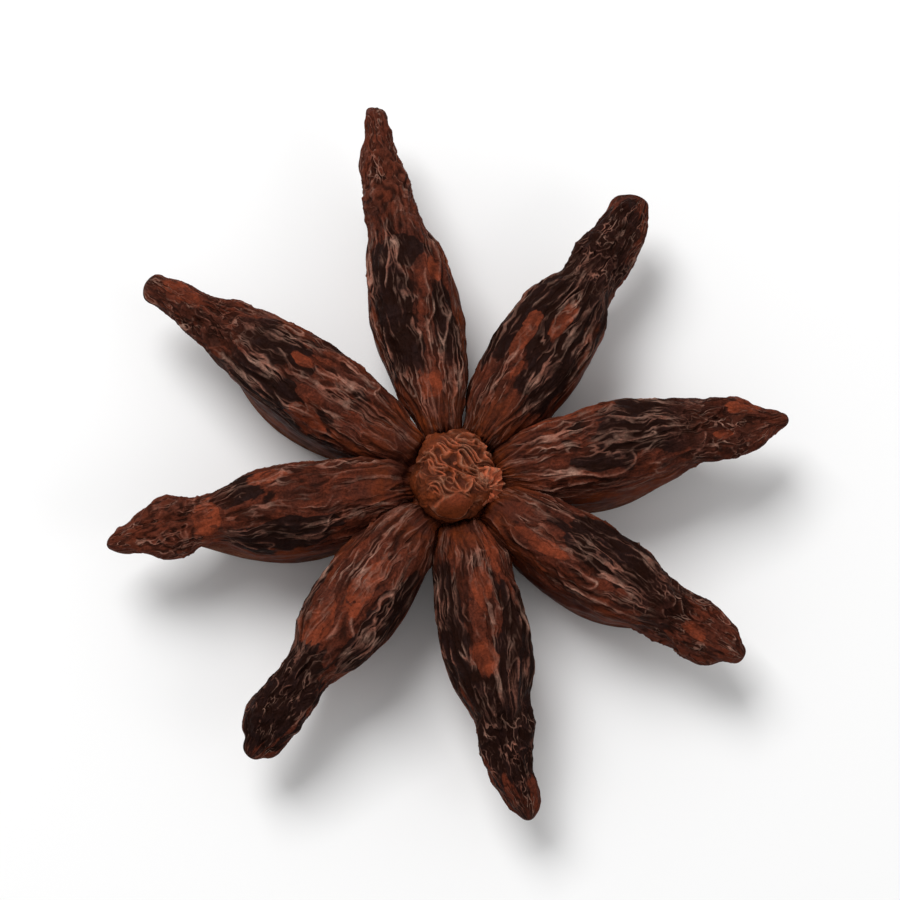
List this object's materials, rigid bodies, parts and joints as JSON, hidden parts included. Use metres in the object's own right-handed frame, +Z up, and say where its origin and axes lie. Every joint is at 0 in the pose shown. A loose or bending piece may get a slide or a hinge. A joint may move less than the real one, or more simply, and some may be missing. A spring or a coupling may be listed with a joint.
{
  "type": "star anise pod",
  "caption": "Dried star-shaped spice fruit: boat-shaped woody follicles round a short column with a stalk stub, split along the seam beneath, with glossy seeds inside.",
  "frame": {"origin": "middle of the pod's bounding box, at table height, with the pod lying on its open side", "axes": "+Z up, along the column towards the stalk stub; +Y towards the longest, most slender beak; +X towards the right-hand follicle seen from above"},
  "size_m": [0.0422, 0.0456, 0.0096],
  "materials": {
    "husk": "dry, wrinkled, dark red-brown bark-like skin with tan ridges, orange-brown and smooth inside",
    "seed": "hard, smooth, glossy reddish brown seed coat"
  },
  "bodies": {
    "root": {"husk": "husk", "seed_1": "seed", "seed_2": "seed", "seed_4": "seed", "seed_5": "seed", "seed_7": "seed", "seed_8": "seed"}
  },
  "joints": []
}
